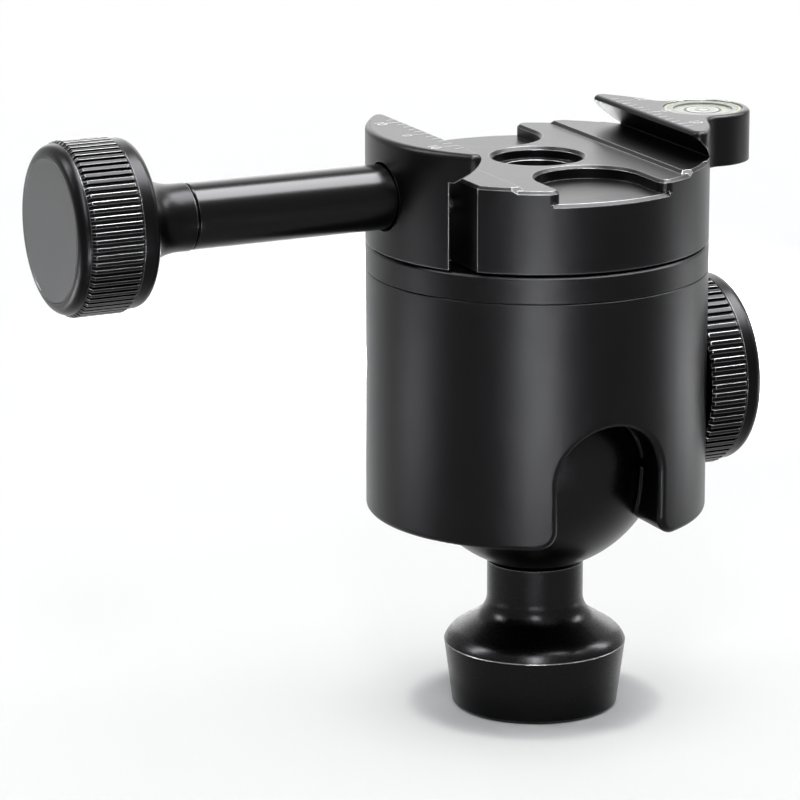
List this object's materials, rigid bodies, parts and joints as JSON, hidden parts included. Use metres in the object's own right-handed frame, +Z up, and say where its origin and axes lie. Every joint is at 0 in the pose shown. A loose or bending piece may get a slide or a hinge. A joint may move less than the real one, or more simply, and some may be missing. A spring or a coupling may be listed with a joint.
{
  "type": "tripod ball head",
  "caption": "Compact round tripod ball head with a flared neck, drop notch, ribbed lock knob and a screw-knob dovetail quick-release clamp with a bubble level.",
  "frame": {"origin": "centre of the foot's underside, on the tripod thread's axis", "axes": "+Z up along the stem, +X along the clamp screw from the long knob towards the fixed jaw, the level and the ball-lock knob; the dovetail channel runs along Y and the drop notch faces -Y"},
  "size_m": [0.1165, 0.053, 0.097],
  "materials": {
    "anodised_satin": "black anodised, fine satin grain",
    "anodised_gloss": "black anodised, polished",
    "ball_coat": "black hard anodised, polished",
    "inlay_plastic": "matte",
    "bearing_plastic": "smooth acetal",
    "dark_bearing_plastic": "smooth black acetal",
    "steel": "machined",
    "brass": "machined",
    "vial_plastic": "clear acrylic",
    "level_fluid": "clear green spirit",
    "level_bubble": "clear",
    "level_ring": "grey printed face"
  },
  "bodies": {
    "base": {"foot": "anodised_gloss", "thread_insert": "steel", "stem": "anodised_gloss"},
    "ball": {"ball": "ball_coat"},
    "head": {"housing": "anodised_satin", "lower_liner": "dark_bearing_plastic", "upper_cup": "dark_bearing_plastic", "cup_spring": "steel", "top_cap": "anodised_satin", "thrust_washer": "bearing_plastic", "pan_screw": "steel", "pan_spring": "steel", "lock_bush": "brass", "key_screw": "anodised_satin"},
    "shoe": {"lock_shoe": "bearing_plastic"},
    "lock_knob": {"lock_screw": "steel", "lock_knob": "anodised_satin", "lock_knob_inlay": "inlay_plastic"},
    "clamp": {"clamp_body": "anodised_satin", "level_vial": "vial_plastic", "level_fluid": "level_fluid", "level_bubble": "level_bubble", "level_ring": "level_ring"},
    "jaw": {"moving_jaw": "anodised_satin", "guide_pins": "steel"},
    "clamp_knob": {"thrust_ring": "bearing_plastic", "screw_clip": "steel", "lead_screw": "steel", "clamp_rod": "anodised_gloss", "clamp_knob": "anodised_satin", "clamp_knob_inlay": "inlay_plastic"}
  },
  "joints": [
    {"name": "ball_spin", "type": "hinge", "parent": "base", "child": "ball", "pos_m": [0, 0, 0.04222], "axis": [0, 0, 1], "continuous": true},
    {"name": "ball_tilt", "type": "hinge", "parent": "ball", "child": "head", "pos_m": [0, 0, 0.04222], "axis": [1, 0, 0], "range_deg": [-35, 90]},
    {"name": "lock_slide", "type": "slide", "parent": "head", "child": "shoe", "axis": [1, 0, 0], "range_m": [0, 0.00151]},
    {"name": "lock_turn", "type": "hinge", "parent": "shoe", "child": "lock_knob", "pos_m": [0.03, 0, 0.05122], "axis": [1, 0, 0], "range_deg": [0, 432]},
    {"name": "pan", "type": "hinge", "parent": "head", "child": "clamp", "pos_m": [0, 0, 0.075], "axis": [0, 0, 1], "continuous": true},
    {"name": "jaw_slide", "type": "slide", "parent": "clamp", "child": "jaw", "axis": [1, 0, 0], "range_m": [-0.00241, 0.00261]},
    {"name": "clamp_turn", "type": "hinge", "parent": "jaw", "child": "clamp_knob", "pos_m": [-0.07, 0, 0.08384], "axis": [1, 0, 0], "range_deg": [-864, 936]}
  ],
  "couplings": [
    {"joint": "lock_slide", "follows": "lock_turn", "m_per_rad": 0.00019894},
    {"joint": "jaw_slide", "follows": "clamp_turn", "m_per_rad": 0.00015915}
  ]
}
